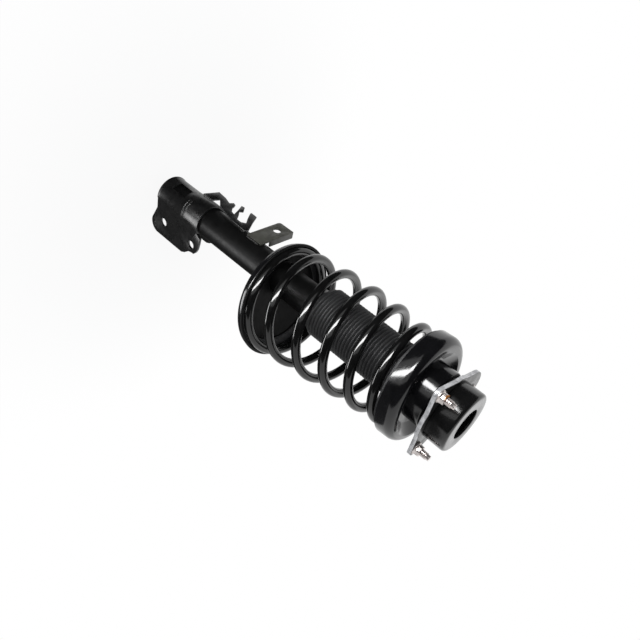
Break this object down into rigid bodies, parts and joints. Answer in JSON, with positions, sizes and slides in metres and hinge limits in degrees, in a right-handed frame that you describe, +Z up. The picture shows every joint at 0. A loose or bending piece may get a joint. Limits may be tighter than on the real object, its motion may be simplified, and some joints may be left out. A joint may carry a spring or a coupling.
{
  "type": "suspension strut assembly",
  "caption": "Car front suspension strut: damper tube with clevis, hose and wire brackets, tapered coil spring, ribbed boot, turning seat on a ball bearing, and studded tower mount.",
  "frame": {"origin": "on the damper rod's axis, at the upper face of the mount plate", "axes": "+Z up along the damper rod's axis through the mount, +X out to the clevis ears, +Y across the clevis towards the hose bracket's reach"},
  "size_m": [0.1998, 0.182, 0.6323],
  "materials": {
    "black_paint": "satin black paint",
    "seat_paint": "gloss black paint",
    "spring_paint": "semi-gloss black powder coat",
    "tube_paint": "satin black paint",
    "bracket_paint": "thin dark paint over steel",
    "mount_rubber": "matt moulded rubber",
    "pad_rubber": "matt moulded rubber",
    "boot_rubber": "matt moulded rubber",
    "foam_stop": "closed-cell foam",
    "bare_steel": "turned",
    "bearing_steel": "ground",
    "zinc_steel": "yellow-tinted zinc plating",
    "chrome_rod": "hard chrome, ground",
    "chrome_ball": "polished",
    "bush_bronze": "sintered bronze",
    "band_plastic": "filled plastic",
    "cage_plastic": "moulded plastic"
  },
  "bodies": {
    "top_mount": {"mount_plate": "black_paint", "mount_cap": "black_paint", "mount_base": "black_paint", "mount_rubber": "mount_rubber", "mount_sleeve": "bare_steel", "mount_studs": "zinc_steel", "stud_nuts": "zinc_steel", "bearing_upper_race": "bearing_steel", "piston_rod": "chrome_rod", "rod_washers": "bare_steel", "rod_nut": "bare_steel", "bump_stop_cup": "black_paint", "bump_stop": "foam_stop", "rebound_stop": "bare_steel", "piston": "bare_steel", "piston_band": "band_plastic", "piston_nut": "bare_steel"},
    "spring_seat": {"upper_spring_seat": "seat_paint", "upper_isolator": "pad_rubber", "bearing_lower_race": "bearing_steel", "bearing_balls": "chrome_ball", "bearing_cage": "cage_plastic", "bearing_seal": "pad_rubber", "coil_spring": "spring_paint", "dust_boot": "boot_rubber"},
    "strut": {"strut_tube": "tube_paint", "tube_end_cap": "tube_paint", "base_cup": "tube_paint", "inner_cylinder": "bare_steel", "base_valve": "bare_steel", "rod_guide": "bare_steel", "guide_bush": "bush_bronze", "rod_seal": "pad_rubber", "lower_spring_seat": "seat_paint", "lower_isolator": "pad_rubber", "clevis_bracket": "tube_paint", "clevis_strap": "tube_paint", "brake_hose_bracket": "bracket_paint", "wire_bracket": "tube_paint"}
  },
  "joints": [
    {"name": "steering_bearing", "type": "hinge", "parent": "top_mount", "child": "spring_seat", "pos_m": [0, 0, -0.0189], "axis": [0, 0, 1], "range_deg": [-40, 40]},
    {"name": "strut_travel", "type": "slide", "parent": "spring_seat", "child": "strut", "axis": [0, 0, 1], "range_m": [0, 0.115], "stiffness_N_per_m": 25000, "springref_m": -0.02, "deforming": ["coil_spring", "dust_boot"]}
  ]
}
